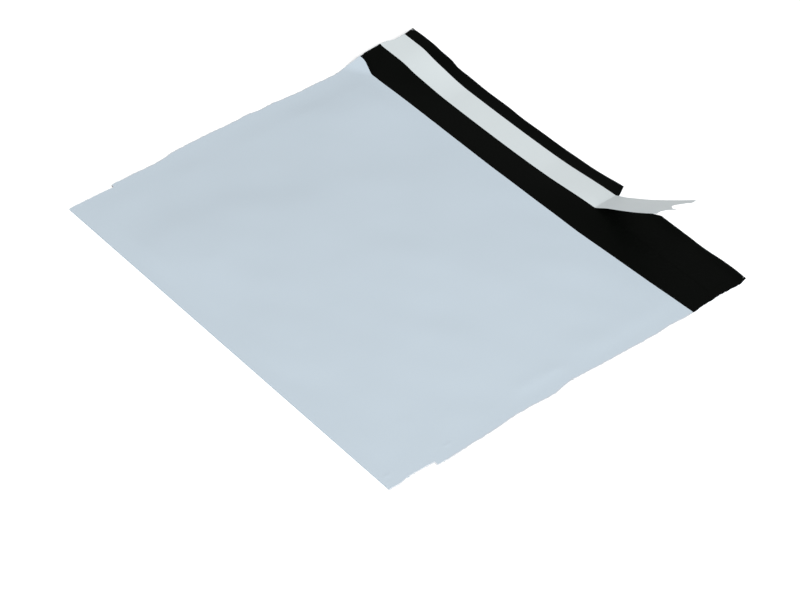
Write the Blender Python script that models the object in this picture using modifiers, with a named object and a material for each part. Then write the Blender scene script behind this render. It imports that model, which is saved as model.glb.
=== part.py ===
# Poly mailer bag, lying flat on its back with the flap open
#
# One web of film makes the whole bag. It runs from the mouth down the front panel, tucks in and out again
# as the bottom gusset, and comes back up as the back panel and the flap. Two welds close the sides, and one
# hot-knife cut trims every layer to the same outline. The flap carries a strip of adhesive under a release
# liner, which is peeled up and torn at the right.
#
# X runs along the mouth, Y from the bottom fold to the flap, Z up from the table. The bag is laid out about
# the middle of its body, and an empty then carries it to the middle of its own footprint.

import bpy
import bmesh
import numpy as np
from math import cos, sin, pi, radians

# bag, in metres
bag_width = 0.320            # between the side edges, before their waves
bag_height = 0.235           # bottom fold to mouth
flap_depth = 0.048           # film beyond the mouth
gusset_depth = 0.034         # film tucked in at the bottom
film_wall = 0.00025
layer_gap = 0.0003           # clear space between layers that lie on each other
seal_width = 0.0045          # weld inside each side edge
weld_inset = 0.001           # the weld stops this far short of the mouth
pillow_rise = 0.0026         # how far the front panel stands off the back at its middle
mouth_rise = 0.0007          # the same at the mouth
left_lift = 0.0065           # left end of the flap, off the table
peel_lift = 0.0040           # flap beside the peel, off the table
buckle_lift = 0.0045         # pinch through all layers at the mouth's left corner
buckle_run = 0.019           # the pinch's length, in from the left edge

# adhesive and liner, in metres
strip_inset = 0.0180         # middle of the strip to the lip
strip_lean = 0.0015          # how much nearer the lip its left end lies
adhesive_width = 0.0160
adhesive_thickness = 0.0002
adhesive_end_gap = 0.0015    # bare film between adhesive and weld
tear_gap = 0.0008            # bare film between adhesive and the tear in the lip
liner_end_gap = 0.0004       # the liner's left end to the cut edge
liner_width = 0.0175
liner_thickness = 0.0002
liner_gap = 0.0003           # clear space under adhesive and under liner
peel_place = 0.0540          # where the liner leaves the adhesive, right of the middle
peel_radius = 0.0040
peel_angle = radians(29.7)
tail_curl = radians(5.1)     # the tail steepens by this much to its tip
tail_twist = 0.055           # its far edge rises this share more than its near edge
tail_drift = 0.0019          # its tip leans this far towards the mouth
tail_length = 0.0862         # from the start of the peel to the tip of the torn end
tail_width = 0.0155

# side edges: share of the way along, then share of the bag's width out from the straight edge
left_gusset = [(0.0, -0.0085), (0.67, -0.0090), (1.0, -0.0105)]
left_edge = [(0.0, -0.0024), (0.16, -0.0003), (0.19, 0.0036), (0.24, 0.0054), (0.34, 0.0046), (0.40, 0.0028),
             (0.44, 0.0042), (0.48, -0.0002), (0.52, 0.0004), (0.56, -0.0026), (0.60, -0.0050), (0.66, -0.0054),
             (0.73, -0.0066), (0.76, -0.0036), (0.784, -0.0034), (0.812, -0.0084), (0.835, -0.0088),
             (0.86, -0.0060), (0.884, -0.0026), (0.908, -0.0058), (0.932, -0.0152), (0.96, -0.0182), (1.0, -0.0125)]
right_gusset = [(0.0, -0.0021), (0.25, -0.0016), (0.42, -0.0044), (1.0, -0.0028)]
right_edge = [(0.0, 0.0064), (0.06, 0.0063), (0.114, 0.0038), (0.16, 0.0038), (0.24, -0.0004), (0.31, 0.0003),
              (0.35, 0.0032), (0.43, -0.0038), (0.50, -0.0008), (0.61, 0.0028), (0.69, 0.0050), (0.73, 0.0039),
              (0.81, 0.0065), (0.86, 0.0042), (0.91, 0.0033), (0.98, 0.0050), (1.0, 0.0019)]

# lip and mouth, from the left: the same two shares
lip_edge = [(0.0, -0.0048), (0.04, -0.0050), (0.09, -0.0090), (0.131, -0.0062), (0.155, -0.0077), (0.20, -0.0053),
            (0.25, -0.0074), (0.30, -0.0068), (0.39, -0.0099), (0.43, -0.0085), (0.46, -0.0093), (0.506, -0.0072),
            (0.545, -0.0096), (0.60, -0.0101), (0.65, -0.0078), (0.75, -0.0060), (0.805, -0.0047), (0.828, -0.0020),
            (0.845, -0.0004), (0.885, -0.0012), (0.945, 0.0012), (0.975, 0.0007), (1.0, -0.0014)]
mouth_edge = [(0.0, 0.0044), (0.019, 0.0046), (0.038, -0.0008), (0.056, -0.0066), (0.075, -0.0077), (0.20, -0.0077),
              (0.30, -0.0090), (0.36, -0.0098), (0.42, -0.0111), (0.50, -0.0105), (0.60, -0.0102), (0.70, -0.0100),
              (0.75, -0.0076), (0.85, -0.0027), (1.0, 0.0052)]

# tear in the lip: share of the width, then share of the flap's depth in from the lip
lip_tear = [(0.6631, 0.0), (0.6756, 0.156), (0.6812, 0.448), (0.700, 0.344), (0.725, 0.208), (0.750, 0.083),
            (0.772, 0.0)]

# torn end of the liner: share of the tail's length back from the tip, then share of its width from the mouth side
torn_end = [(0.242, 0.0), (0.238, 0.18), (0.191, 0.285), (0.162, 0.315), (0.056, 0.336), (0.133, 0.40),
            (0.147, 0.43), (0.194, 0.60), (0.146, 0.71), (0.077, 0.79), (0.012, 0.815), (0.0, 0.90), (0.0, 0.97),
            (0.012, 1.0)]

# soft creases of the front panel, as shares of half its width and half its height: start, end
creases = [
    ((-0.41, 0.03), (-0.60, -0.38)),
    ((-0.60, -0.38), (-0.62, -0.90)),
    ((-0.88, -0.26), (-0.85, 0.68)),
    ((-0.85, 0.68), (-0.80, 0.92)),
    ((0.94, 0.96), (0.915, 0.0)),
]
crease_height = 0.0008
crease_reach = 0.015         # half the width of a crease

# finish: colour, roughness
film_finish = ((0.55, 0.62, 0.68, 1), 0.42)
adhesive_finish = ((0.03, 0.032, 0.03, 1), 0.15)
liner_finish = ((0.66, 0.70, 0.72, 1), 0.38)

# mesh fineness
column_step = 0.009
row_step = 0.010
mouth_rows = 6               # rows between the last straight one and the mouth
flap_rows = 8
fold_steps = 4               # faces round each fold
edge_steps = 3               # straight pieces between two points of a side edge
lip_steps = 56
strip_lanes = 5
peel_steps = 5
tail_steps = 7

half_width = bag_width / 2
fold_y = -bag_height / 2
mouth_y = bag_height / 2
lip_y = mouth_y + flap_depth
gusset_y = fold_y + gusset_depth
mouth_zone = 0.62 * flap_depth               # stretch of the front panel where rows follow the mouth
pitch = film_wall + layer_gap                # middle of one layer to the middle of the next
fold_radius = pitch / 2
adhesive_level = film_wall + liner_gap + adhesive_thickness / 2
liner_level = adhesive_level + adhesive_thickness / 2 + liner_gap + liner_thickness / 2
trim_margin = 0.006                          # spare film outside the cut outline
cutter_reach = 0.020                         # cutters stand this far above and below the table


def ease(t):
    """Smooth step from 0 to 1."""
    t = min(max(t, 0.0), 1.0)
    return t * t * (3 - 2 * t)


def along(points, share):
    """Smooth curve through (share, value) points."""
    places, values = np.array(points).T
    slopes = np.gradient(values, places)
    k = int(np.clip(np.searchsorted(places, share) - 1, 0, len(places) - 2))
    span = places[k + 1] - places[k]
    t = min(max((share - places[k]) / span, 0.0), 1.0)
    rise = values[k + 1] - values[k]
    bend = (1 - t) * (slopes[k] * span - rise) - t * (slopes[k + 1] * span - rise)
    return float(values[k] + rise * t + t * (1 - t) * bend)


def across(x):
    """Share of the bag's width at x."""
    return (x + half_width) / bag_width


def lip_line(x):
    return lip_y + bag_width * along(lip_edge, across(x))


def mouth_line(x):
    return mouth_y + bag_width * along(mouth_edge, across(x))


def left_end(x):
    """Rises from 0 to 1 over the last tenth of the bag's width, at its left."""
    return ease((-x - 0.8 * half_width) / (0.2 * half_width))


def strip_line(x):
    """Middle of the adhesive and its liner, which run beside the lip."""
    return lip_line(x) - strip_inset + strip_lean * left_end(x)


def left_slant(x, y):
    """How far the strips' left ends move out to lie along the cut edge there."""
    return -bag_width * along(left_edge, (y - gusset_y) / (lip_y - gusset_y)) * left_end(x)


def lift(x, y):
    """Height of the raised stretches over the table: left end of the flap, flap by the peel, buckle at the mouth."""
    beyond = (y - mouth_y) / flap_depth
    left = ease((0.225 - across(x)) / 0.1625) * ease((beyond + 0.2) / 1.17)
    peel = ease(1 - abs(x - peel_place) / (0.19 * bag_width)) * ease((beyond + 0.115) / 0.625)
    inward = max(-half_width + buckle_run - x, 0.0)
    off = y - mouth_y + 0.08 * buckle_run - 0.40 * inward
    spread = (1.10 if off < 0 else 0.95) * inward + film_wall
    buckle = min(inward / buckle_run, 1.15) * ease(1 - abs(off) / spread)
    return left_lift * left + peel_lift * peel + buckle_lift * buckle


def crease_level(x, y):
    """Height of the panel's creases, each a soft ridge that dies away past its ends."""
    total = 0.0
    place = np.array((x, y))
    halves = np.array((half_width, bag_height / 2))
    for start, end in creases:
        start, end = np.array(start) * halves, np.array(end) * halves
        run = end - start
        t = float(np.clip(np.dot(place - start, run) / np.dot(run, run), 0, 1))
        away = float(np.linalg.norm(place - start - run * t)) / crease_reach
        total = max(total, float(np.exp(-away * away)))
    return crease_height * total


def rest_level(y):
    """Front panel over the table where only folds and welds hold it up: four layers at the gusset, two above."""
    settled = ease((y - gusset_y) / gusset_depth)
    return film_wall / 2 + pitch * (3 - 2 * settled)


def front_level(x, y):
    """Middle of the front panel's film."""
    inside = half_width - seal_width
    side = ease((inside - abs(x)) / (0.26 * bag_width))
    bottom = ease((y - fold_y) / (0.31 * bag_height))
    top = ease((mouth_y - y) / (0.36 * bag_height))
    pillow = bottom * (mouth_rise + (pillow_rise - mouth_rise) * top)
    near_edge = ease((inside - abs(x)) / crease_reach) * ease((y - fold_y) / (2 * crease_reach))
    near_mouth = 0.35 + 0.65 * top
    return rest_level(y) + side * pillow + near_edge * near_mouth * crease_level(x, y)


def finish(name, colour, roughness):
    """Principled material for one piece."""
    material = bpy.data.materials.new(name)
    material.use_nodes = True
    shader = material.node_tree.nodes["Principled BSDF"]
    shader.inputs["Base Color"].default_value = colour
    shader.inputs["Roughness"].default_value = roughness
    shader.inputs["Metallic"].default_value = 0.0
    material.diffuse_color = colour
    return material


def new_object(name, mesh, collection):
    obj = bpy.data.objects.new(name, mesh)
    collection.objects.link(obj)
    return obj


def sheet(name, columns, rows, place, collection):
    """Grid of columns by rows, each point set by place(column, row)."""
    bm = bmesh.new()
    bmesh.ops.create_grid(bm, x_segments=columns - 1, y_segments=rows - 1, size=1)
    for vert in bm.verts:
        column = round((vert.co.x + 1) / 2 * (columns - 1))
        row = round((vert.co.y + 1) / 2 * (rows - 1))
        vert.co = place(column, row)
    mesh = bpy.data.meshes.new(name)
    bm.to_mesh(mesh)
    bm.free()
    return new_object(name, mesh, collection)


def thicken(obj, wall):
    solidify = obj.modifiers.new("film wall", "SOLIDIFY")
    solidify.thickness = wall
    solidify.offset = 0
    solidify.use_even_offset = True


def prism(name, outline, low, high, collection):
    """Flat outline in XY, filled and extruded from low to high, as a mesh."""
    curve = bpy.data.curves.new(name, "CURVE")
    curve.dimensions = "2D"
    curve.fill_mode = "BOTH"
    curve.extrude = (high - low) / 2
    spline = curve.splines.new("POLY")
    spline.points.add(len(outline) - 1)
    for point, (x, y) in zip(spline.points, outline):
        point.co = (x, y, 0, 1)
    spline.use_cyclic_u = True
    guide = new_object(name + "_outline", curve, collection)
    guide.location.z = (low + high) / 2
    bpy.context.view_layer.update()
    graph = bpy.context.evaluated_depsgraph_get()
    mesh = bpy.data.meshes.new_from_object(guide.evaluated_get(graph))
    bm = bmesh.new()
    bm.from_mesh(mesh)
    bmesh.ops.remove_doubles(bm, verts=bm.verts, dist=1e-6)
    bmesh.ops.recalc_face_normals(bm, faces=bm.faces)
    bm.to_mesh(mesh)
    bm.free()
    obj = new_object(name, mesh, collection)
    obj.matrix_world = guide.matrix_world
    bpy.data.objects.remove(guide)
    obj.display_type = "WIRE"
    obj.hide_render = True
    return obj


def boolean(obj, operation, other):
    modifier = obj.modifiers.new(operation.lower(), "BOOLEAN")
    modifier.operation = operation
    modifier.solver = "EXACT"
    modifier.object = other


def settled_copy(obj, collection, material, rests_to=bag_width):
    """The piece with its modifiers applied and raised by the lift, of x rests_to where it has left the flap."""
    bpy.context.view_layer.update()
    graph = bpy.context.evaluated_depsgraph_get()
    mesh = bpy.data.meshes.new_from_object(obj.evaluated_get(graph))
    for vert in mesh.vertices:
        vert.co.z += lift(min(vert.co.x, rests_to), vert.co.y)
    name = obj.name
    obj.name = name + "_flat"
    obj.hide_render = True
    obj.display_type = "WIRE"
    piece = new_object(name, mesh, collection)
    mesh.materials.clear()
    mesh.materials.append(material)
    mesh.shade_smooth()
    mesh.set_sharp_from_angle(angle=radians(30))
    return piece


def column_places():
    """X of the film's columns: even steps between the welds, twice as many by the buckle, a few across each weld."""
    clear = half_width - 1.5 * seal_width
    count = round(2 * clear / column_step)
    middle = list(np.linspace(-clear, clear, count + 1))
    buckle = [(a + b) / 2 for a, b in zip(middle, middle[1:]) if a < -half_width + 1.5 * buckle_run]
    edge = [half_width - 0.5 * seal_width, half_width + trim_margin]
    return [-x for x in reversed(edge)] + sorted(middle + buckle) + edge


def front_rows():
    """Y of the front panel's straight rows, from the fold up to where they start to follow the mouth."""
    top = mouth_y - mouth_zone
    bottom = fold_y + fold_radius
    count = round((top - bottom) / row_step)
    return list(np.linspace(bottom, top, count + 1))


def web_rows():
    """One function of x for each row of the web, giving y and z, from the mouth to beyond the lip."""
    rows = []
    straight = front_rows()
    for count in range(mouth_rows, 0, -1):
        rows.append(lambda x, s=count / mouth_rows: follow_mouth(x, straight[-1], s))
    for y in reversed(straight):
        rows.append(lambda x, y=y: (y, front_level(x, y)))
    for turn in range(1, fold_steps):
        rows.append(fold_row(fold_y + fold_radius, 2.5, -1, turn))
    for y in (fold_y + fold_radius, gusset_y - fold_radius):
        rows.append(lambda x, y=y: (y, film_wall / 2 + 2 * pitch))
    for turn in range(1, fold_steps):
        rows.append(fold_row(gusset_y - fold_radius, 1.5, 1, turn))
    for y in (gusset_y - fold_radius, fold_y + fold_radius):
        rows.append(lambda x, y=y: (y, film_wall / 2 + pitch))
    for turn in range(1, fold_steps):
        rows.append(fold_row(fold_y + fold_radius, 0.5, -1, turn))
    back = [fold_y + fold_radius, 0.3 * bag_height]
    back += list(np.linspace(mouth_y - mouth_zone, mouth_y, mouth_rows + 1))
    back += list(np.linspace(mouth_y, lip_y + trim_margin, flap_rows + 1))[1:]
    for y in back:
        rows.append(lambda x, y=y: (y, film_wall / 2))
    return rows


def follow_mouth(x, last, share):
    """Row between the last straight one and the mouth's own edge."""
    y = last + (mouth_line(x) - last) * share
    return y, front_level(x, y)


def fold_row(centre_y, layers, way, turn):
    """Row on a fold: a half turn about a line layers pitches above the back panel, bulging along way."""
    angle = pi / 2 - pi * turn / fold_steps
    y = centre_y + way * fold_radius * cos(angle)
    z = film_wall / 2 + layers * pitch + fold_radius * sin(angle)
    return lambda x: (y, z)


def film_web(guides):
    columns = column_places()
    rows = web_rows()

    def place(column, row):
        x = columns[column]
        y, z = rows[row](x)
        return x, y, z

    web = sheet("mailer_film", len(columns), len(rows), place, guides)
    thicken(web, film_wall)
    return web


def side_weld(name, way, guides):
    """Fused band between the layers at one side, up to just short of the mouth, drawn in YZ."""
    inside = half_width - seal_width
    outer = half_width + trim_margin / 2
    top = mouth_line(way * (half_width - seal_width / 2)) - weld_inset
    bottom = fold_y + film_wall / 2
    rows = [y for y in front_rows() if y > bottom + fold_radius]
    upper = [(y, rest_level(y)) for y in rows] + [(top, rest_level(top))]
    lower = [(top, film_wall / 2), (bottom, film_wall / 2)]
    outline = lower + [(bottom, rest_level(bottom))] + upper
    weld = prism(name, outline, (inside - outer) / 2, (outer - inside) / 2, guides)
    weld.location.x = way * (inside + outer) / 2
    weld.rotation_euler = (pi / 2, 0, pi / 2)
    return weld


def edge_points(points, low, high, way):
    """Points of one side's cut from y low to y high, from its list of shares."""
    shares = []
    for (start, _), (end, _) in zip(points, points[1:]):
        shares += list(np.linspace(start, end, edge_steps, endpoint=False))
    shares.append(points[-1][0])
    return [(way * (half_width + bag_width * along(points, share)), low + share * (high - low)) for share in shares]


def side_cut(gusset_edge, edge, way):
    """One side of the outline, upwards: spare below the fold, the gusset's edge, a step, the edge above it."""
    below = (way * (half_width + bag_width * gusset_edge[0][1]), fold_y - trim_margin)
    cut = edge_points(gusset_edge, fold_y, gusset_y, way) + edge_points(edge, gusset_y, lip_y, way)
    cut[-1] = (cut[-1][0], lip_line(cut[-1][0]))
    return [below] + cut


def torn_points(margin):
    """The tear's points from left to right, set in from it by margin."""
    tear = [(share * bag_width - half_width, depth * flap_depth) for share, depth in lip_tear]
    return [(x - margin, lip_line(x) - depth - margin) for x, depth in tear]


def cut_outline():
    """The one outline that trims every layer: side waves and gusset steps, lip and its tear."""
    right = side_cut(right_gusset, right_edge, 1)
    left = side_cut(left_gusset, left_edge, -1)
    tear = torn_points(0.0)
    lip = [(x, lip_line(x)) for x in np.linspace(right[-1][0], left[-1][0], lip_steps)[1:-1]]
    before = [point for point in lip if point[0] > tear[-1][0]]
    after = [point for point in lip if point[0] < tear[0][0]]
    return right + before + tear[::-1] + after + left[::-1]


def ribbon(name, stations, width_at, wall, level, guides):
    """Strip along stations of (x, z), centred beside the lip."""

    def place(column, row):
        x, z = stations[column]
        side = row / (strip_lanes - 1) - 0.5
        raised = ease((x - peel_place) / (0.5 * tail_length)) if z > level else 0.0
        middle = strip_line(peel_place if z > level else x)
        y = middle - tail_drift * raised + width_at(x) * side
        return x + left_slant(x, y), y, z + tail_twist * side * (z - level)

    strip = sheet(name, len(stations), strip_lanes, place, guides)
    thicken(strip, wall)
    return strip


def adhesive(guides):
    reach = half_width - seal_width - adhesive_end_gap
    count = round(2 * reach / column_step)
    stations = [(x, adhesive_level) for x in np.linspace(-reach, reach, count + 1)]
    strip = ribbon("adhesive_strip", stations, lambda x: adhesive_width, adhesive_thickness, adhesive_level, guides)
    tear = torn_points(tear_gap)
    outline = [(tear[0][0], lip_y + trim_margin)] + tear + [(tear[-1][0], lip_y + trim_margin)]
    boolean(strip, "DIFFERENCE", prism("tear_in_adhesive", outline, -cutter_reach, cutter_reach, guides))
    return strip


def liner(guides):
    left = -half_width + liner_end_gap
    count = round((peel_place - left) / column_step)
    stations = [(x, liner_level) for x in np.linspace(left, peel_place, count + 1)]
    for turn in range(1, peel_steps + 1):
        angle = peel_angle * turn / peel_steps
        stations.append((peel_place + peel_radius * sin(angle), liner_level + peel_radius * (1 - cos(angle))))
    x, z = stations[-1]
    step = (tail_length - peel_radius * peel_angle) / tail_steps
    for count in range(tail_steps):
        angle = peel_angle + tail_curl * (count + 0.5) / tail_steps
        x, z = x + step * cos(angle), z + step * sin(angle)
        stations.append((x, z))

    def width_at(x):
        return liner_width + (tail_width - liner_width) * ease((x - peel_place) / (0.15 * tail_length))

    strip = ribbon("release_liner", stations, width_at, liner_thickness, liner_level, guides)
    boolean(strip, "DIFFERENCE", torn_end_cutter(stations[-1], guides))
    return strip


def torn_end_cutter(tip, guides):
    """Everything past the torn edge, standing square to the tail."""
    near = strip_line(peel_place) - tail_drift - tail_width / 2
    edge = [(-back * tail_length, share * tail_width) for back, share in torn_end]
    edge[0] = (edge[0][0], -trim_margin)
    far = tail_width + trim_margin
    outline = edge + [(edge[-1][0], far), (trim_margin, far), (trim_margin, -trim_margin)]
    cutter = prism("torn_end_cutter", outline, -trim_margin, trim_margin, guides)
    cutter.location = (tip[0], near, tip[1])
    cutter.rotation_euler.y = -(peel_angle + tail_curl)
    return cutter


def build():
    for obj in list(bpy.data.objects):
        bpy.data.objects.remove(obj)
    parts = bpy.data.collections.new("poly_mailer_bag")
    guides = bpy.data.collections.new("cutters")
    bpy.context.scene.collection.children.link(parts)
    bpy.context.scene.collection.children.link(guides)

    film = film_web(guides)
    for name, way in (("left_weld", -1), ("right_weld", 1)):
        boolean(film, "UNION", side_weld(name, way, guides))
    boolean(film, "INTERSECT", prism("cut_outline", cut_outline(), -cutter_reach, cutter_reach, guides))

    pieces = [
        settled_copy(film, parts, finish("mailer_film", *film_finish)),
        settled_copy(adhesive(guides), parts, finish("adhesive", *adhesive_finish)),
        settled_copy(liner(guides), parts, finish("release_liner", *liner_finish), peel_place),
    ]

    corners = np.array([vert.co for piece in pieces for vert in piece.data.vertices])
    low, high = corners.min(axis=0), corners.max(axis=0)
    footprint = bpy.data.objects.new("footprint", None)
    parts.objects.link(footprint)
    footprint.location = (-(low[0] + high[0]) / 2, -(low[1] + high[1]) / 2, -low[2])
    for piece in pieces:
        piece.parent = footprint


build()
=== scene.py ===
# Poly mailer bag lying flat with its flap open: the look of its film, liner and adhesive
# Everything is in metres. x runs along the mouth, y from the bottom fold to the flap, z up from the table.

from math import cos, pi, radians, sin

import bpy
import numpy as np
from mathutils import Matrix, Vector


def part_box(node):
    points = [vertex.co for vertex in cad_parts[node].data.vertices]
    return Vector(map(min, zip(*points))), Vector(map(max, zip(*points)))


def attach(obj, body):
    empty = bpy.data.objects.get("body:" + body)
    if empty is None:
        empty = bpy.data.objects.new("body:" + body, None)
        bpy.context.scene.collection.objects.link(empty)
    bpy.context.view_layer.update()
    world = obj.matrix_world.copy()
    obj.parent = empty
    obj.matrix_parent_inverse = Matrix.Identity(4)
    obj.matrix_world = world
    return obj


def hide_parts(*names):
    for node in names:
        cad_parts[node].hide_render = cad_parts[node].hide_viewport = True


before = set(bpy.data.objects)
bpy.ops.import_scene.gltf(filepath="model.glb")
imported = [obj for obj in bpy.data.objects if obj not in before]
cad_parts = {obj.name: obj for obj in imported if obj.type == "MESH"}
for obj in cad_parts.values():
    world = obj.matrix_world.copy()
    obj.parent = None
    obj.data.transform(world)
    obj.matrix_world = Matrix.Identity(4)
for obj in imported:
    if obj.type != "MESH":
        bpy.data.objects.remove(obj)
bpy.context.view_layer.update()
print("frame loaded:", sorted(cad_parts))

# the bag's own sizes, about the middle of its body
bag = {
    "width": 0.320,
    "height": 0.235,
    "flap": 0.048,
    "gusset": 0.034,
    "wall": 0.00016,
    "pitch": 0.00036,          # from one layer's middle to the next
    "pillow": 0.0028,
    "mouthRise": 0.0006,
    "leftReach": 0.001814,     # the CAD film's furthest point to the left, outside its nominal edge
    "foldReach": 0.000135,     # the same at the bottom fold
}
half = bag["width"] / 2
foldY = -bag["height"] / 2
mouthY = bag["height"] / 2
lipY = mouthY + bag["flap"]
gussetY = foldY + bag["gusset"]
filmLow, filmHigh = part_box("mailer_film")
bodyMiddle = Vector((filmLow.x + half + bag["leftReach"], filmLow.y - foldY + bag["foldReach"], 0))

# how the cut edges wave: share of the way along, then share of the bag's width out from the straight edge
edges = {
    "leftLow": [(0.0, -0.0076), (0.08, -0.0080), (0.12, -0.0098)],
    "leftHigh": [(0.12, -0.0014), (0.20, -0.0002), (0.262, 0.0006), (0.285, 0.0046), (0.33, 0.0063),
                 (0.42, 0.0056), (0.475, 0.0038), (0.51, 0.0052), (0.54, 0.0006), (0.58, 0.0014),
                 (0.61, -0.0018), (0.65, -0.0042), (0.70, -0.0047), (0.765, -0.0056), (0.79, -0.0024),
                 (0.81, -0.0010), (0.834, -0.0042), (0.855, -0.0040), (0.876, -0.0014), (0.898, 0.0018),
                 (0.919, -0.0004), (0.94, -0.0088), (0.962, -0.0100), (0.982, -0.0088), (1.0, -0.0080)],
    "rightLow": [(0.0, -0.0021), (0.03, -0.0016), (0.05, -0.0044), (0.12, -0.0028)],
    "rightHigh": [(0.12, 0.0064), (0.175, 0.0063), (0.22, 0.0038), (0.26, 0.0038), (0.33, -0.0004),
                  (0.39, 0.0003), (0.43, 0.0032), (0.495, -0.0038), (0.56, -0.0008), (0.66, 0.0028),
                  (0.73, 0.0050), (0.76, 0.0039), (0.83, 0.0066), (0.875, 0.0042), (0.92, 0.0037),
                  (0.94, 0.0044), (0.961, 0.0044), (0.982, 0.0055), (1.0, 0.0024)],
    "lip": [(0.0, -0.0050), (0.034, -0.0052), (0.070, -0.0060), (0.0875, -0.0066), (0.106, -0.0086),
            (0.122, -0.0078), (0.14, -0.0064), (0.155, -0.0080), (0.18, -0.0062), (0.206, -0.0055),
            (0.25, -0.0074), (0.30, -0.0067), (0.39, -0.0099), (0.43, -0.0085), (0.46, -0.0094),
            (0.506, -0.0076), (0.545, -0.0096), (0.60, -0.0098), (0.65, -0.0076), (0.75, -0.0058),
            (0.805, -0.0044), (0.828, -0.0019), (0.845, -0.0004), (0.885, -0.0012), (0.945, 0.0012),
            (0.975, 0.0007), (1.0, -0.0014)],
    "strip": [(0.0, -0.0585), (0.04, -0.0592), (0.08, -0.0603), (0.11, -0.0626), (0.16, -0.0629),
              (0.21, -0.0632), (0.28, -0.0643), (0.34, -0.0650), (0.41, -0.0652), (0.47, -0.0648),
              (0.506, -0.0643), (0.545, -0.0647), (0.60, -0.0650), (0.67, -0.0648), (0.75, -0.0620),
              (0.84, -0.0575), (1.0, -0.0560)],
    "mouth": [(0.0, 0.0040), (0.019, 0.0046), (0.038, -0.0009), (0.056, -0.0064), (0.075, -0.0074),
              (0.15, -0.0078), (0.225, -0.0075), (0.30, -0.0082), (0.36, -0.0092), (0.42, -0.0105),
              (0.50, -0.0106), (0.56, -0.0103), (0.62, -0.0093), (0.70, -0.0092), (0.75, -0.0072),
              (0.85, -0.0027), (1.0, 0.0053)],
    # x, then depth of the tear into the lip
    "notch": [(0.0522, 0.0), (0.0562, 0.0075), (0.0580, 0.0215), (0.0640, 0.0165), (0.0720, 0.0100),
              (0.0800, 0.0040), (0.0870, 0.0)],
    "ragged": 0.00018,         # height of the melted edge's ripple
}

# release liner
liner = {
    "width": 0.0177,
    "wall": 0.00010,
    "gap": 0.00006,
    "peel": 0.0540,
    "radius": 0.0040,
    "angle": radians(29.5),
    "curl": radians(4.4),
    "twist": 0.055,
    "drift": 0.0019,
    "tail": 0.0862,
    "tailWidth": 0.0155,
    "torn": [(0.0, 0.0209), (0.14, 0.0205), (0.235, 0.0165), (0.265, 0.0140), (0.286, 0.0048),
             (0.35, 0.0115), (0.39, 0.0130), (0.56, 0.0167), (0.66, 0.0126), (0.75, 0.0066),
             (0.775, 0.0008), (0.88, 0.0), (0.97, 0.0), (1.0, 0.0010)],
}

# stretches of the flap that stand off the table
raised = {
    "left": 0.0065, "leftStart": -0.088, "leftRun": 0.052, "leftBelow": 0.0095, "leftDepth": 0.056,
    "peel": 0.0040, "peelMiddle": 0.0570, "peelReach": 0.062, "peelBelow": 0.0055, "peelDepth": 0.030,
    "buckle": 0.0045, "buckleTip": -0.141, "buckleUp": -0.0015, "buckleRun": 0.019, "buckleSlant": 0.40,
    "buckleBelow": 1.10, "buckleAbove": 0.95,
}


def ease(t):
    t = np.clip(t, 0, 1)
    return t * t * (3 - 2 * t)


def smoothLine(points, at):    # smooth curve through (place, value) points
    places, values = np.array(points).T
    slopes = np.gradient(values, places)
    k = np.clip(np.searchsorted(places, at) - 1, 0, len(places) - 2)
    span = places[k + 1] - places[k]
    t = np.clip((at - places[k]) / span, 0, 1)
    rise = values[k + 1] - values[k]
    bend = (1 - t) * (slopes[k] * span - rise) - t * (slopes[k + 1] * span - rise)
    return values[k] + rise * t + t * (1 - t) * bend


def ripple(at, seed, shortest, longest, waves=7):    # sum of sines of random phase, about 1 high
    random = np.random.default_rng(seed)
    lengths = np.geomspace(shortest, longest, waves)
    phases = random.uniform(0, 2 * pi, waves)
    total = sum(np.sin(2 * pi * at / length + phase) for length, phase in zip(lengths, phases))
    return total / np.sqrt(waves)


def sideOut(y, low, high, seed):    # how far the cut edge stands out at y
    share = (y - foldY) / (lipY - foldY)
    out = np.where(y < gussetY, smoothLine(edges[low], share), smoothLine(edges[high], share))
    return out * bag["width"] + edges["ragged"] * ripple(y, seed, 0.0035, 0.021)


def leftEdge(y):
    return -half - sideOut(y, "leftLow", "leftHigh", 3)


def rightEdge(y):
    return half + sideOut(y, "rightLow", "rightHigh", 4)


def lipLine(x):
    return lipY + bag["width"] * smoothLine(edges["lip"], (x + half) / bag["width"])


def mouthLine(x):
    return mouthY + bag["width"] * smoothLine(edges["mouth"], (x + half) / bag["width"])


def notchDepth(x):
    places, depths = np.array(edges["notch"]).T
    return np.interp(x, places, depths)


# left end and peel stand on slopes that start at the mouth, the buckle is a cone from its tip
def lift(x, y):
    beyond = y - mouthY
    left = ease((raised["leftStart"] - x) / raised["leftRun"])
    left = raised["left"] * left * ease((beyond + raised["leftBelow"]) / raised["leftDepth"])
    peel = ease(1 - np.abs(x - raised["peelMiddle"]) / raised["peelReach"])
    peel = raised["peel"] * peel * ease((beyond + raised["peelBelow"]) / raised["peelDepth"])
    along = np.maximum(raised["buckleTip"] - x, 0)
    off = beyond - raised["buckleUp"] - raised["buckleSlant"] * along
    spread = np.where(off < 0, raised["buckleBelow"], raised["buckleAbove"]) * along + 1e-6
    cone = raised["buckle"] * np.minimum(along / raised["buckleRun"], 1.15) * ease(1 - np.abs(off) / spread)
    return left + peel + cone


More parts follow.
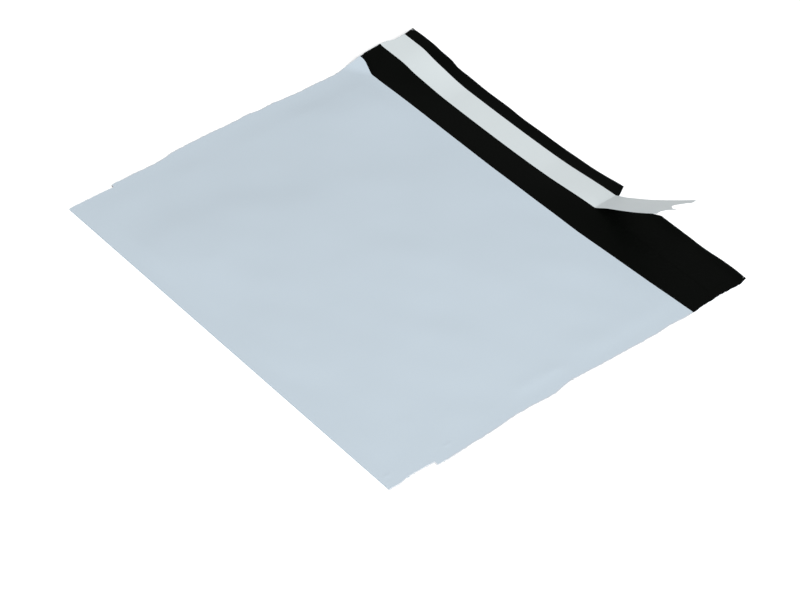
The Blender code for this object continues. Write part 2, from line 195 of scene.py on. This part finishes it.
# front panel: a ridge is points of its crest, widths of its left and right flank, height
# a pucker is its place, width and height
panel = {
    "ridges": [
        ([(-0.063, -0.012), (-0.082, -0.047), (-0.090, -0.072), (-0.088, -0.100)], 0.0230, 0.040, 0.00125),
        ([(-0.122, 0.062), (-0.118, 0.106)], 0.0240, 0.030, 0.0013),
        ([(-0.138, -0.030), (-0.136, 0.050)], 0.0170, 0.030, 0.0002),
        ([(0.1500, 0.113), (0.1500, 0.062)], 0.0100, 0.010, 0.00045),
        ([(0.1475, 0.020), (0.1465, -0.003)], 0.0055, 0.009, 0.0007),
    ],
    "puckers": [((0.1505, -0.1120), 0.0012, 0.00026), ((0.1532, -0.0690), 0.0013, 0.00032),
                ((-0.060, -0.077), 0.0050, 0.00016), ((0.029, -0.082), 0.0050, 0.00016),
                ((0.1255, -0.075), 0.0060, 0.00020)],
    "waves": (0.028, 0.095, 0.00009),                # shortest, longest, height of the film's own waviness
    "settleStart": 0.003,      # past the gusset the front panel comes down onto the back panel
    "settleRun": 0.032,
    "sideMargin": 0.0045,      # flat stretch inside each weld
    "foldMargin": 0.002,       # the same inside the bottom fold
    "sideRise": 0.42,          # the pillow's slopes, as shares of the width and of the height
    "foldRise": 0.30,
    "mouthFall": 0.36,
    "sideFade": 0.020,         # relief fades in over these distances
    "foldFade": 0.014,
    "mouthFade": 0.020,
    "looseness": 0.0002,
    "columnStep": 0.0032,
    "rowStep": 0.0019,
    "backStep": 0.0045,
    "cornerColumns": (-0.1575, -0.13, 0.0013),       # closer columns: start, end, step
    "puckerColumns": (0.1470, 0.1560, 0.0007),
    "tornStep": 0.0007,
    "weldColumn": 0.0012,
}


def ridgeHeight(x, y, crest, leftWidth, rightWidth, height):    # bell on each side of a line of points
    best = np.full(np.shape(x), 1e9)
    side = np.zeros(np.shape(x))
    for start, end in zip(crest, crest[1:]):
        runX, runY = end[0] - start[0], end[1] - start[1]
        t = np.clip(((x - start[0]) * runX + (y - start[1]) * runY) / (runX ** 2 + runY ** 2), 0, 1)
        offX, offY = x - start[0] - runX * t, y - start[1] - runY * t
        away = np.hypot(offX, offY)
        side = np.where(away < best, offX, side)
        best = np.minimum(away, best)
    width = leftWidth + (rightWidth - leftWidth) * ease(0.5 + side / (2 * leftWidth))
    return height * np.exp(-(best / width) ** 2)


def unevenness(x, y):    # waves across the film in random directions, higher as they are longer
    random = np.random.default_rng(8)
    shortest, longest, height = panel["waves"]
    total = 0
    for length in np.geomspace(shortest, longest, 14):
        angle, phase = random.uniform(0, 2 * pi, 2)
        wave = np.sin(2 * pi * (x * cos(angle) + y * sin(angle)) / length + phase)
        total = total + wave * length / longest
    return height * total


def frontLevel(x, y):    # middle of the front panel's film over the table
    settled = ease((y - gussetY - panel["settleStart"]) / panel["settleRun"])
    rest = bag["wall"] / 2 + bag["pitch"] * (3 - 2 * settled)
    inside = half - panel["sideMargin"]
    fromFold = y - foldY - panel["foldMargin"]
    side = ease((inside - np.abs(x)) / (panel["sideRise"] * bag["width"]))
    bottom = ease(fromFold / (panel["foldRise"] * bag["height"]))
    top = ease((mouthY - y) / (panel["mouthFall"] * bag["height"]))
    pillow = bottom * (bag["mouthRise"] + (bag["pillow"] - bag["mouthRise"]) * top)
    nearEdge = ease((inside - np.abs(x)) / panel["sideFade"]) * ease(fromFold / panel["foldFade"])
    nearMouth = 0.5 + 0.5 * ease((mouthY - y) / panel["mouthFade"])
    detail = unevenness(x, y) + sum(ridgeHeight(x, y, *ridge) for ridge in panel["ridges"])
    pucker = sum(h * np.exp(-((x - px) ** 2 + (y - py) ** 2) / w ** 2) for (px, py), w, h in panel["puckers"])
    relief = nearEdge * nearMouth * (detail + panel["looseness"])
    return rest + np.maximum(side * pillow + relief, 0) + pucker


# curl of the flap's edge
curl = {"reach": 0.0085, "height": 0.0006, "spread": 0.0003}


def flapLevel(x, y):    # middle of the flap's film
    near = ease((y - lipLine(x) + curl["reach"]) / curl["reach"]) ** 2
    return bag["wall"] / 2 + lift(x, y) + near * (curl["height"] + curl["spread"] * ripple(x, 21, 0.022, 0.09))


# adhesive
glue = {"width": 0.0155, "height": 0.00004, "gap": 0.00003, "ends": 0.006}


def makeMesh(name, points, faces):
    mesh = bpy.data.meshes.new(name)
    mesh.from_pydata(points.reshape(-1, 3).tolist(), [], faces.reshape(-1, faces.shape[-1]).tolist())
    mesh.update()
    obj = bpy.data.objects.new(name, mesh)
    bpy.context.scene.collection.objects.link(obj)
    return obj


def gridFaces(rows, columns):    # quads whose normal is row direction cross column direction
    index = np.arange(rows * columns).reshape(rows, columns)
    return np.stack([index[:-1, :-1], index[1:, :-1], index[1:, 1:], index[:-1, 1:]], -1).reshape(-1, 4)


def thicken(obj, wall, backSlot=0):    # gives a sheet its wall and leaves a plain closed mesh
    solid = obj.modifiers.new("wall", "SOLIDIFY")
    solid.thickness = wall
    solid.offset = 0
    solid.use_even_offset = True
    solid.material_offset = backSlot
    bpy.context.view_layer.update()
    mesh = bpy.data.meshes.new_from_object(obj.evaluated_get(bpy.context.evaluated_depsgraph_get()))
    obj.modifiers.clear()
    obj.data = mesh
    mesh.name = obj.name
    mesh.shade_smooth()
    mesh.set_sharp_from_angle(angle=radians(50))


def webRows():    # y, z and which panel, for every row of the web from the mouth to the lip
    rows = []
    wall, pitch = bag["wall"], bag["pitch"]
    radius = pitch / 2
    low = foldY + radius
    front = np.linspace(mouthY, low, round((mouthY - low) / panel["rowStep"]) + 1)
    front = np.sort(np.append(front, [gussetY - 0.0001, gussetY + 0.0001]))[::-1]
    rows += [(y, None, "front") for y in front]
    turns = pi / 2 - pi * np.arange(1, 8) / 8
    rows += [(low - radius * cos(a), wall / 2 + 2.5 * pitch + radius * sin(a), "fold") for a in turns]
    tuck = np.linspace(low, gussetY - radius, 9)
    rows += [(y, wall / 2 + 2 * pitch, "gusset") for y in tuck]
    inner = gussetY - radius
    rows += [(inner + radius * cos(a), wall / 2 + 1.5 * pitch + radius * sin(a), "gusset") for a in turns]
    rows += [(y, wall / 2 + pitch, "gusset") for y in tuck[::-1]]
    rows += [(low - radius * cos(a), wall / 2 + 0.5 * pitch + radius * sin(a), "fold") for a in turns]
    flapStart = mouthY - 0.4 * bag["flap"]
    back = np.linspace(low, flapStart, round((flapStart - low) / panel["backStep"]) + 1)[:-1]
    back = np.sort(np.append(back, [gussetY - 0.0001, gussetY + 0.0001]))
    flapRows = np.linspace(flapStart, lipY, round((lipY - flapStart) / panel["rowStep"]) + 1)
    rows += [(y, wall / 2, "back") for y in np.append(back, flapRows)]
    return rows


def buildFilm():
    tornX = [place for place, _ in edges["notch"]]
    nominal = np.linspace(-half, half, round(bag["width"] / panel["columnStep"]) + 1)
    tornColumns = np.arange(tornX[0] - 0.002, tornX[-1] + 0.002, panel["tornStep"])
    nominal = np.concatenate([nominal, tornX, tornColumns, np.arange(*panel["cornerColumns"]),
                              np.arange(*panel["puckerColumns"]),
                              [-half + panel["weldColumn"], half - panel["weldColumn"]]])
    nominal = np.unique(np.round(nominal, 5))
    share = (nominal + half) / bag["width"]
    # columns by the tear stay straight, the others follow the cut edges
    kept = ease((nominal - 0.020) / 0.024) * ease((0.118 - nominal) / 0.024)
    rows = webRows()
    points = np.zeros((len(rows), len(nominal), 3))
    for i, (y, z, part) in enumerate(rows):
        atX, atY = nominal, np.full_like(nominal, y)
        for _ in range(3):    # x and y of the edges depend on each other
            if part == "front":
                atY = y + (mouthLine(atX) - mouthY) * ease((y - mouthY + 0.03) / 0.03)
            elif part == "back":
                flapShare = np.clip((y - mouthY - 0.004) / (bag["flap"] - 0.004), 0, 1)
                lipShare = ease((y - mouthY) / bag["flap"])
                atY = y + (lipLine(atX) - lipY) * lipShare - notchDepth(nominal) * flapShare
            left, right = leftEdge(atY), rightEdge(atY)
            atX = left + (right - left) * share
            keep = kept * ease((y - mouthY + 0.012) / 0.012) if part == "back" else 0
            atX = atX * (1 - keep) + nominal * keep
        if part == "front":
            atZ = frontLevel(atX, atY) + lift(atX, atY)
        elif part == "back":
            atZ = flapLevel(atX, atY)
        else:
            atZ = z + lift(atX, atY)
        points[i] = np.stack([atX, atY, atZ], -1)
    points += np.array(bodyMiddle)
    film = makeMesh("mailerFilm", points, gridFaces(len(rows), len(nominal)))
    film.data.materials.append(materials["filmOuter"])
    film.data.materials.append(materials["filmInner"])
    thicken(film, bag["wall"], backSlot=1)
    return film


def stripLine(x):    # middle of adhesive and liner
    return lipY + bag["width"] * smoothLine(edges["strip"], (x + half) / bag["width"])


def buildAdhesive():
    reach = half - glue["ends"]
    tornX = [place for place, _ in edges["notch"]]
    x = np.unique(np.round(np.concatenate([np.linspace(-reach, reach, 140), tornX]), 5))[:, None]
    across = np.linspace(0, 1, 15)[None, :]
    near = stripLine(x) - glue["width"] / 2 * (1 + 0.012 * ripple(x, 31, 0.006, 0.05))
    far = stripLine(x) + glue["width"] / 2 * (1 + 0.012 * ripple(x, 32, 0.006, 0.05))
    far = np.minimum(far, lipLine(x) - notchDepth(x) - 0.0008)
    y = near + (far - near) * across
    z = bag["wall"] / 2 + glue["gap"] + glue["height"] / 2 + flapLevel(x, y)
    points = np.stack([x + 0 * y, y, z], -1) + np.array(bodyMiddle)
    strip = makeMesh("adhesiveStrip", points, gridFaces(*points.shape[:2])[:, ::-1])
    strip.data.materials.append(materials["adhesive"])
    thicken(strip, glue["height"])
    return strip


def linerPath(s):    # x and z of the peeled tail at distance s past the peel
    steps = np.linspace(0, liner["tail"], 600)
    bend = liner["radius"] * liner["angle"]
    past = np.clip((steps - bend) / (liner["tail"] - bend), 0, 1)
    angle = np.where(steps < bend, steps / liner["radius"], liner["angle"] + liner["curl"] * past)
    gap = steps[1] - steps[0]
    x = np.concatenate([[0], np.cumsum(np.cos(angle[1:]) * gap)])
    z = np.concatenate([[0], np.cumsum(np.sin(angle[1:]) * gap)])
    return np.interp(s, steps, x), np.interp(s, steps, z)


def buildLiner():
    tornPlaces, tornBack = np.array(liner["torn"]).T
    lanes = np.unique(np.round(np.concatenate([np.linspace(0, 1, 41), tornPlaces]), 4))
    level = bag["wall"] / 2 + glue["gap"] + glue["height"] + liner["gap"] + liner["wall"] / 2
    end = liner["tail"] - np.interp(lanes, tornPlaces, tornBack) + 0.0003 * ripple(lanes, 41, 0.03, 0.2)
    flatX = np.linspace(-half, liner["peel"], 112)[:, None] + 0 * lanes[None, :]
    flatY = stripLine(flatX) + liner["width"] * (lanes - 0.5)
    slide = ease((-flatX - 0.8 * half) / (0.2 * half))
    flatX = flatX + (leftEdge(flatY) + half + 0.0003) * slide
    flatZ = level + flapLevel(flatX, flatY)
    bend = liner["radius"] * liner["angle"]
    bendS = np.linspace(0, bend, 10)[1:, None] + 0 * lanes[None, :]
    tailShare = np.linspace(0, 1, 54)[1:, None]
    tailS = bend + (end[None, :] - bend) * tailShare
    s = np.concatenate([bendS, tailS])
    tailX, tailZ = linerPath(s)
    raisedShare = ease(tailX / (0.5 * liner["tail"]))
    width = liner["width"] + (liner["tailWidth"] - liner["width"]) * ease(tailX / (0.15 * liner["tail"]))
    tailY = stripLine(liner["peel"]) - liner["drift"] * raisedShare + width * (lanes - 0.5)
    tailZ = tailZ * (1 + liner["twist"] * (lanes - 0.5)) + level + flapLevel(liner["peel"], tailY)
    x = np.concatenate([flatX, liner["peel"] + tailX])
    y = np.concatenate([flatY, tailY])
    z = np.concatenate([flatZ, tailZ])
    points = np.stack([x, y, z], -1) + np.array(bodyMiddle)
    strip = makeMesh("releaseLiner", points, gridFaces(*points.shape[:2])[:, ::-1])
    strip.data.materials.append(materials["liner"])
    thicken(strip, liner["wall"])
    return strip


def buildBead(name, x, y, middle, halfWide, halfTall):    # tube along a cut edge, rings square to its run
    wayX, wayY = np.gradient(x), np.gradient(y)
    length = np.hypot(wayX, wayY)
    outX, outY = wayY / length, -wayX / length
    turn = np.linspace(0, 2 * pi, bead["sides"], endpoint=False)
    across = halfWide[:, None] * np.cos(turn)
    ringZ = np.maximum(middle[:, None] + halfTall[:, None] * np.sin(turn), 0.00001)
    points = np.stack([x[:, None] + outX[:, None] * across, y[:, None] + outY[:, None] * across, ringZ], -1)
    points += np.array(bodyMiddle)
    count, ring = points.shape[:2]
    index = np.arange(count * ring).reshape(count, ring)
    after = np.roll(index, -1, axis=1)
    faces = np.stack([index[:-1], after[:-1], after[1:], index[1:]], -1).reshape(-1, 4).tolist()
    faces += [index[0][::-1].tolist(), index[-1].tolist()]
    mesh = bpy.data.meshes.new(name)
    mesh.from_pydata(points.reshape(-1, 3).tolist(), [], faces)
    mesh.update()
    mesh.shade_smooth()
    tube = bpy.data.objects.new(name, mesh)
    bpy.context.scene.collection.objects.link(tube)
    mesh.materials.append(materials["bead"])
    return tube


# melted beads that the hot knife leaves
bead = {"weldWidth": 0.00046, "weldLumps": 0.17, "flapWidth": 0.00010, "flapExtra": 0.00012,
        "weldInset": 0.0002, "flapInset": 0.0001, "sides": 10}    # widths are from the middle out


def buildSideBead(name, edge, way, seed):    # takes in every layer's edge, from the fold to the mouth
    mouthEnd = float(mouthLine(np.array([way * half]))[0]) - 0.0004
    y = np.linspace(foldY + 0.0001, mouthEnd, 300)
    y = np.sort(np.append(y, [gussetY - 0.0001, gussetY + 0.0001]))
    x = edge(y) - way * bead["weldInset"]
    middle = (frontLevel(x, y) + bag["wall"] / 2) / 2
    lumps = np.clip(ripple(y, seed, 0.0022, 0.012), -1, 1.5)
    halfWide = bead["weldWidth"] * (1 + bead["weldLumps"] * lumps)
    return buildBead(name, x, y, middle + lift(x, y), halfWide, middle + 0.00003)


def buildFlapBead(name, edge, way, seed):    # one layer's edge: up the side, then along the lip
    sideY = np.linspace(float(mouthLine(np.array([way * half]))[0]), lipY - 0.004, 60)
    sideX = edge(sideY) - way * bead["flapInset"]
    tornX = edges["notch"][-1][0] if way > 0 else edges["notch"][0][0]
    lipX = np.linspace(sideX[-1] - way * 0.003, tornX, 200)
    x = np.concatenate([sideX, lipX])
    y = np.concatenate([sideY, lipLine(lipX) - bead["flapInset"]])
    run = np.concatenate([[0], np.cumsum(np.hypot(np.diff(x), np.diff(y)))])
    swell = np.maximum(ripple(run, seed, 0.004, 0.045), 0)
    halfWide = bead["flapWidth"] + bead["flapExtra"] * swell
    return buildBead(name, x, y, np.maximum(flapLevel(x, y), halfWide), halfWide, halfWide)


# finishes
finish = {
    "filmOuter": {"base": (0.515, 0.597, 0.665, 1), "spread": 0.03, "rough": 0.46, "roughSpread": 0.08,
                  "grain": 0.0016, "height": 0.000006, "specular": 0.5},
    "filmInner": {"base": (0.0015, 0.0019, 0.0015, 1), "spread": 0.3, "rough": 0.44, "roughSpread": 0.10,
                  "grain": 0.0016, "height": 0.000006, "specular": 0.016},
    "liner": {"base": (0.632, 0.687, 0.701, 1), "spread": 0.05, "rough": 0.42, "roughSpread": 0.08,
              "grain": 0.0020, "height": 0.000005, "specular": 0.5},
    "adhesive": {"base": (0.0015, 0.0019, 0.0015, 1), "spread": 0.3, "rough": 0.42, "roughSpread": 0.10,
                 "grain": 0.0030, "height": 0.000008, "specular": 0.016},
    "bead": {"base": (0.57, 0.585, 0.61, 1), "spread": 0.1, "rough": 0.5, "roughSpread": 0.08,
             "grain": 0.0008, "height": 0.000010, "specular": 0.3},
}


def filmSurfaceGroup():    # tone, gloss and fine height of blown film, drawn out along its length
    group = bpy.data.node_groups.new("filmSurface", "ShaderNodeTree")
    sockets = [("Base", "NodeSocketColor", (0.5, 0.5, 0.5, 1)), ("Spread", "NodeSocketFloat", 0.05),
               ("Rough", "NodeSocketFloat", 0.4), ("Rough spread", "NodeSocketFloat", 0.1),
               ("Grain", "NodeSocketFloat", 0.002), ("Height", "NodeSocketFloat", 0.00001)]
    for name, kind, start in sockets:
        group.interface.new_socket(name, in_out="INPUT", socket_type=kind).default_value = start
    group.interface.new_socket("Color", in_out="OUTPUT", socket_type="NodeSocketColor")
    group.interface.new_socket("Roughness", in_out="OUTPUT", socket_type="NodeSocketFloat")
    group.interface.new_socket("Normal", in_out="OUTPUT", socket_type="NodeSocketVector")
    nodes, links = group.nodes, group.links
    given, made = nodes.new("NodeGroupInput"), nodes.new("NodeGroupOutput")
    place = nodes.new("ShaderNodeTexCoord")

    stretch = nodes.new("ShaderNodeMapping")
    stretch.inputs["Scale"].default_value = (1, 0.12, 1)
    links.new(place.outputs["Object"], stretch.inputs["Vector"])
    drawn = nodes.new("ShaderNodeTexNoise")
    drawn.inputs["Scale"].default_value = 110
    drawn.inputs["Detail"].default_value = 3
    links.new(stretch.outputs["Vector"], drawn.inputs["Vector"])
    cloud = nodes.new("ShaderNodeTexNoise")
    cloud.inputs["Scale"].default_value = 22
    cloud.inputs["Detail"].default_value = 3
    links.new(place.outputs["Object"], cloud.inputs["Vector"])
    blend = nodes.new("ShaderNodeMix")
    blend.inputs["Factor"].default_value = 0.6
    links.new(drawn.outputs["Fac"], blend.inputs["A"])
    links.new(cloud.outputs["Fac"], blend.inputs["B"])

    tone = nodes.new("ShaderNodeMath")
    tone.operation = "MULTIPLY_ADD"
    links.new(blend.outputs["Result"], tone.inputs[0])
    links.new(given.outputs["Spread"], tone.inputs[1])
    tone.inputs[2].default_value = 1.0
    centre = nodes.new("ShaderNodeMath")
    centre.operation = "MULTIPLY_ADD"
    links.new(given.outputs["Spread"], centre.inputs[0])
    centre.inputs[1].default_value = -0.5
    links.new(tone.outputs[0], centre.inputs[2])
    colour = nodes.new("ShaderNodeVectorMath")
    colour.operation = "SCALE"
    links.new(given.outputs["Base"], colour.inputs[0])
    links.new(centre.outputs[0], colour.inputs["Scale"])
    links.new(colour.outputs[0], made.inputs["Color"])

    gloss = nodes.new("ShaderNodeMath")
    gloss.operation = "MULTIPLY_ADD"
    links.new(drawn.outputs["Fac"], gloss.inputs[0])
    links.new(given.outputs["Rough spread"], gloss.inputs[1])
    links.new(given.outputs["Rough"], gloss.inputs[2])
    links.new(gloss.outputs[0], made.inputs["Roughness"])

    fineness = nodes.new("ShaderNodeMath")
    fineness.operation = "DIVIDE"
    fineness.inputs[0].default_value = 1
    links.new(given.outputs["Grain"], fineness.inputs[1])
    fine = nodes.new("ShaderNodeTexNoise")
    fine.inputs["Detail"].default_value = 2
    links.new(fineness.outputs[0], fine.inputs["Scale"])
    links.new(place.outputs["Object"], fine.inputs["Vector"])
    bump = nodes.new("ShaderNodeBump")
    bump.inputs["Strength"].default_value = 1
    links.new(given.outputs["Height"], bump.inputs["Distance"])
    links.new(fine.outputs["Fac"], bump.inputs["Height"])
    links.new(bump.outputs["Normal"], made.inputs["Normal"])
    return group


def makeMaterial(name, group):
    values = finish[name]
    material = bpy.data.materials.new(name)
    material.use_nodes = True
    nodes, links = material.node_tree.nodes, material.node_tree.links
    shader = nodes["Principled BSDF"]
    surface = nodes.new("ShaderNodeGroup")
    surface.node_tree = group
    surface.inputs["Base"].default_value = values["base"]
    surface.inputs["Spread"].default_value = values["spread"]
    surface.inputs["Rough"].default_value = values["rough"]
    surface.inputs["Rough spread"].default_value = values["roughSpread"]
    surface.inputs["Grain"].default_value = values["grain"]
    surface.inputs["Height"].default_value = values["height"]
    links.new(surface.outputs["Color"], shader.inputs["Base Color"])
    links.new(surface.outputs["Roughness"], shader.inputs["Roughness"])
    links.new(surface.outputs["Normal"], shader.inputs["Normal"])
    shader.inputs["Specular IOR Level"].default_value = values["specular"]
    material.diffuse_color = values["base"]
    return material


surfaceGroup = filmSurfaceGroup()
materials = {name: makeMaterial(name, surfaceGroup) for name in finish}
print("finishes made")

film = buildFilm()
adhesive = buildAdhesive()
releaseLiner = buildLiner()
beads = [buildSideBead("sideBeadLeft", leftEdge, -1, 51), buildSideBead("sideBeadRight", rightEdge, 1, 52),
         buildFlapBead("flapBeadLeft", leftEdge, -1, 53), buildFlapBead("flapBeadRight", rightEdge, 1, 54)]
slots = [(film, "film"), (adhesive, "adhesive"), (releaseLiner, "liner")] + [(tube, "film") for tube in beads]
for piece, slot in slots:
    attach(piece, "root")
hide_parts("mailer_film")
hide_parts("adhesive_strip")
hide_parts("release_liner")
print("pieces made:", [obj.name for obj in (film, adhesive, releaseLiner, *beads)])
# the camera looks down on one corner of the bag
camera = {"azimuth": 50.38, "elevation": 42.51, "distance": 1.856, "right": 0.0172, "up": -0.0230, "lens": 135}


def placeCamera():
    a, e = radians(camera["azimuth"]), radians(camera["elevation"])
    back = Vector((sin(a) * cos(e), -cos(a) * cos(e), sin(e)))
    right = Vector((cos(a), sin(a), 0))
    up = back.cross(right)
    data = bpy.data.cameras.new("camera")
    data.lens = camera["lens"]
    data.sensor_width = 36
    data.clip_start, data.clip_end = 0.01, 50
    eye = bpy.data.objects.new("camera", data)
    bpy.context.scene.collection.objects.link(eye)
    eye.matrix_world = Matrix((right, up, back)).transposed().to_4x4()
    eye.location = bodyMiddle + right * camera["right"] + up * camera["up"] + back * camera["distance"]
    bpy.context.scene.camera = eye


# white table, an even sky and one broad round lamp, near enough to light the right side a little more
light = {"sky": 0.565, "lamp": 2.72, "lampAway": 5.0, "lampSpread": 34, "lampAzimuth": 72, "lampElevation": 35,
         "tableGlow": 0.26, "tableReach": 6}


def backgroundRay(tree):    # 1 for camera, mirror and glass rays, 0 for the rays that light the object
    path = tree.nodes.new("ShaderNodeLightPath")
    total = path.outputs["Is Camera Ray"]
    for ray in ("Is Glossy Ray", "Is Transmission Ray"):
        larger = tree.nodes.new("ShaderNodeMath")
        larger.operation = "MAXIMUM"
        tree.links.new(total, larger.inputs[0])
        tree.links.new(path.outputs[ray], larger.inputs[1])
        total = larger.outputs[0]
    return total


def setStage():
    r = light["tableReach"]
    corners = np.array([(-r, -r, 0), (r, -r, 0), (r, r, 0), (-r, r, 0)], float)
    floor = makeMesh("table", corners, np.array([[0, 1, 2, 3]]))
    material = bpy.data.materials.new("tableWhite")
    material.use_nodes = True
    shader = material.node_tree.nodes["Principled BSDF"]
    shader.inputs["Base Color"].default_value = (1, 1, 1, 1)
    shader.inputs["Roughness"].default_value = 1
    shader.inputs["Specular IOR Level"].default_value = 0
    shader.inputs["Emission Color"].default_value = (1, 1, 1, 1)
    glow = material.node_tree.nodes.new("ShaderNodeMath")
    glow.operation = "MULTIPLY"
    glow.inputs[1].default_value = light["tableGlow"]    # whitens the table without lighting the bag
    material.node_tree.links.new(backgroundRay(material.node_tree), glow.inputs[0])
    material.node_tree.links.new(glow.outputs[0], shader.inputs["Emission Strength"])
    floor.data.materials.append(material)

    data = bpy.data.lights.new("lamp", "AREA")
    data.shape = "DISK"
    data.size = 2 * light["lampAway"] * sin(radians(light["lampSpread"] / 2))
    data.energy = light["lamp"] * pi * light["lampAway"] ** 2
    lamp = bpy.data.objects.new("lamp", data)
    bpy.context.scene.collection.objects.link(lamp)
    a, e = radians(light["lampAzimuth"]), radians(light["lampElevation"])
    away = Vector((sin(a) * cos(e), -cos(a) * cos(e), sin(e)))
    lamp.location = away * light["lampAway"]
    lamp.rotation_mode = "QUATERNION"
    lamp.rotation_quaternion = away.to_track_quat("Z", "Y")

    world = bpy.data.worlds.new("sky")
    bpy.context.scene.world = world
    world.use_nodes = True
    sky = world.node_tree.nodes["Background"]
    level = world.node_tree.nodes.new("ShaderNodeMapRange")
    level.inputs["To Min"].default_value = light["sky"]
    level.inputs["To Max"].default_value = 1
    world.node_tree.links.new(backgroundRay(world.node_tree), level.inputs["Value"])
    world.node_tree.links.new(level.outputs["Result"], sky.inputs["Strength"])
    sky.inputs["Color"].default_value = (1, 1, 1, 1)


placeCamera()
setStage()
bpy.context.scene.view_settings.view_transform = "Standard"
print("camera and light set")
